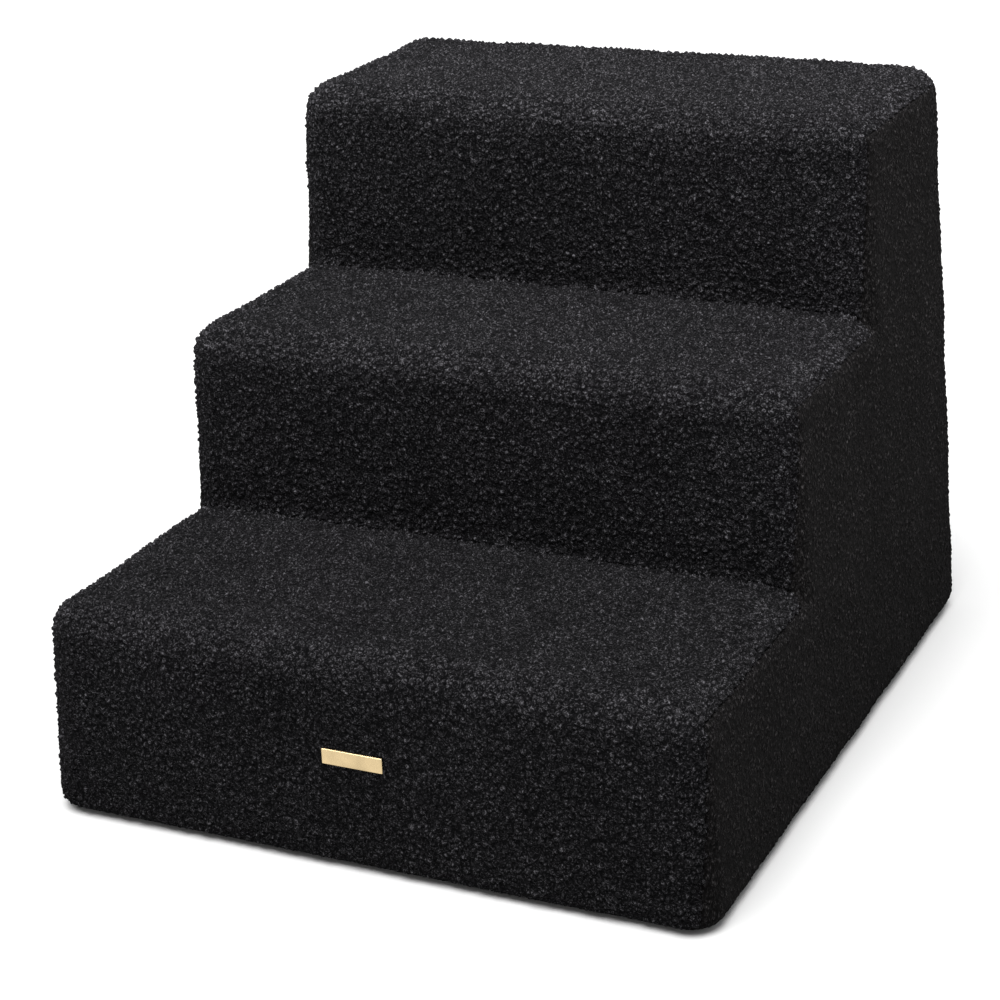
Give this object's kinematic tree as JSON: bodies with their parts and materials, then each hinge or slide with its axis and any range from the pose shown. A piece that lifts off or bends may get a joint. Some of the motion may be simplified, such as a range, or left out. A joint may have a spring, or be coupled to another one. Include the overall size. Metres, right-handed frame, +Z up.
{
  "type": "pet stairs",
  "caption": "Stepped foam block for small pets to climb, under a removable cover of curly pile cloth with a zipper across the lower back, a blank metal nameplate and a dotted grip base.",
  "frame": {"origin": "on the floor, under the middle of the footprint", "axes": "+Z up, -Y towards the front where the pet steps on, +X to the right of a pet that looks up the stairs"},
  "size_m": [0.4454, 0.5069, 0.394],
  "materials": {
    "foam": "matte",
    "soft_foam": "matte",
    "curly_pile": "matte",
    "base_cloth": "matte",
    "grip_rubber": "matte",
    "nameplate_metal": "satin",
    "backing_metal": "satin",
    "zipper_tape": "matte",
    "zipper_coil": "satin",
    "zipper_metal": "satin",
    "label_satin": "satin"
  },
  "bodies": {
    "stairs": {"foam_base_slab": "foam", "foam_middle_slab": "foam", "foam_upper_slab": "foam", "comfort_pad_lower": "soft_foam", "comfort_pad_middle": "soft_foam", "comfort_pad_upper": "soft_foam", "step_cover_lower": "curly_pile", "step_cover_middle": "curly_pile", "step_cover_upper": "curly_pile", "side_cover_left": "curly_pile", "side_cover_right": "curly_pile", "back_cover_upper": "curly_pile", "back_cover_lower": "curly_pile", "base_cover": "base_cloth", "grip_sheet": "grip_rubber", "nameplate": "nameplate_metal", "nameplate_backing": "backing_metal", "zipper_tape_upper": "zipper_tape", "zipper_tape_lower": "zipper_tape", "zipper_coil_upper": "zipper_coil", "zipper_coil_lower": "zipper_coil", "zipper_top_stops": "zipper_metal", "zipper_bottom_stop": "zipper_metal", "care_label": "label_satin"},
    "slider": {"zipper_slider": "zipper_metal"},
    "pull": {"zipper_pull": "zipper_metal"}
  },
  "joints": [
    {"name": "zipper_slide", "type": "slide", "parent": "stairs", "child": "slider", "axis": [1, 0, 0], "range_m": [0, 0.34149]},
    {"name": "pull_turn", "type": "hinge", "parent": "slider", "child": "pull", "pos_m": [-0.17075, 0.25115, 0.042], "axis": [0, 0, 1], "range_deg": [0, 180]}
  ]
}
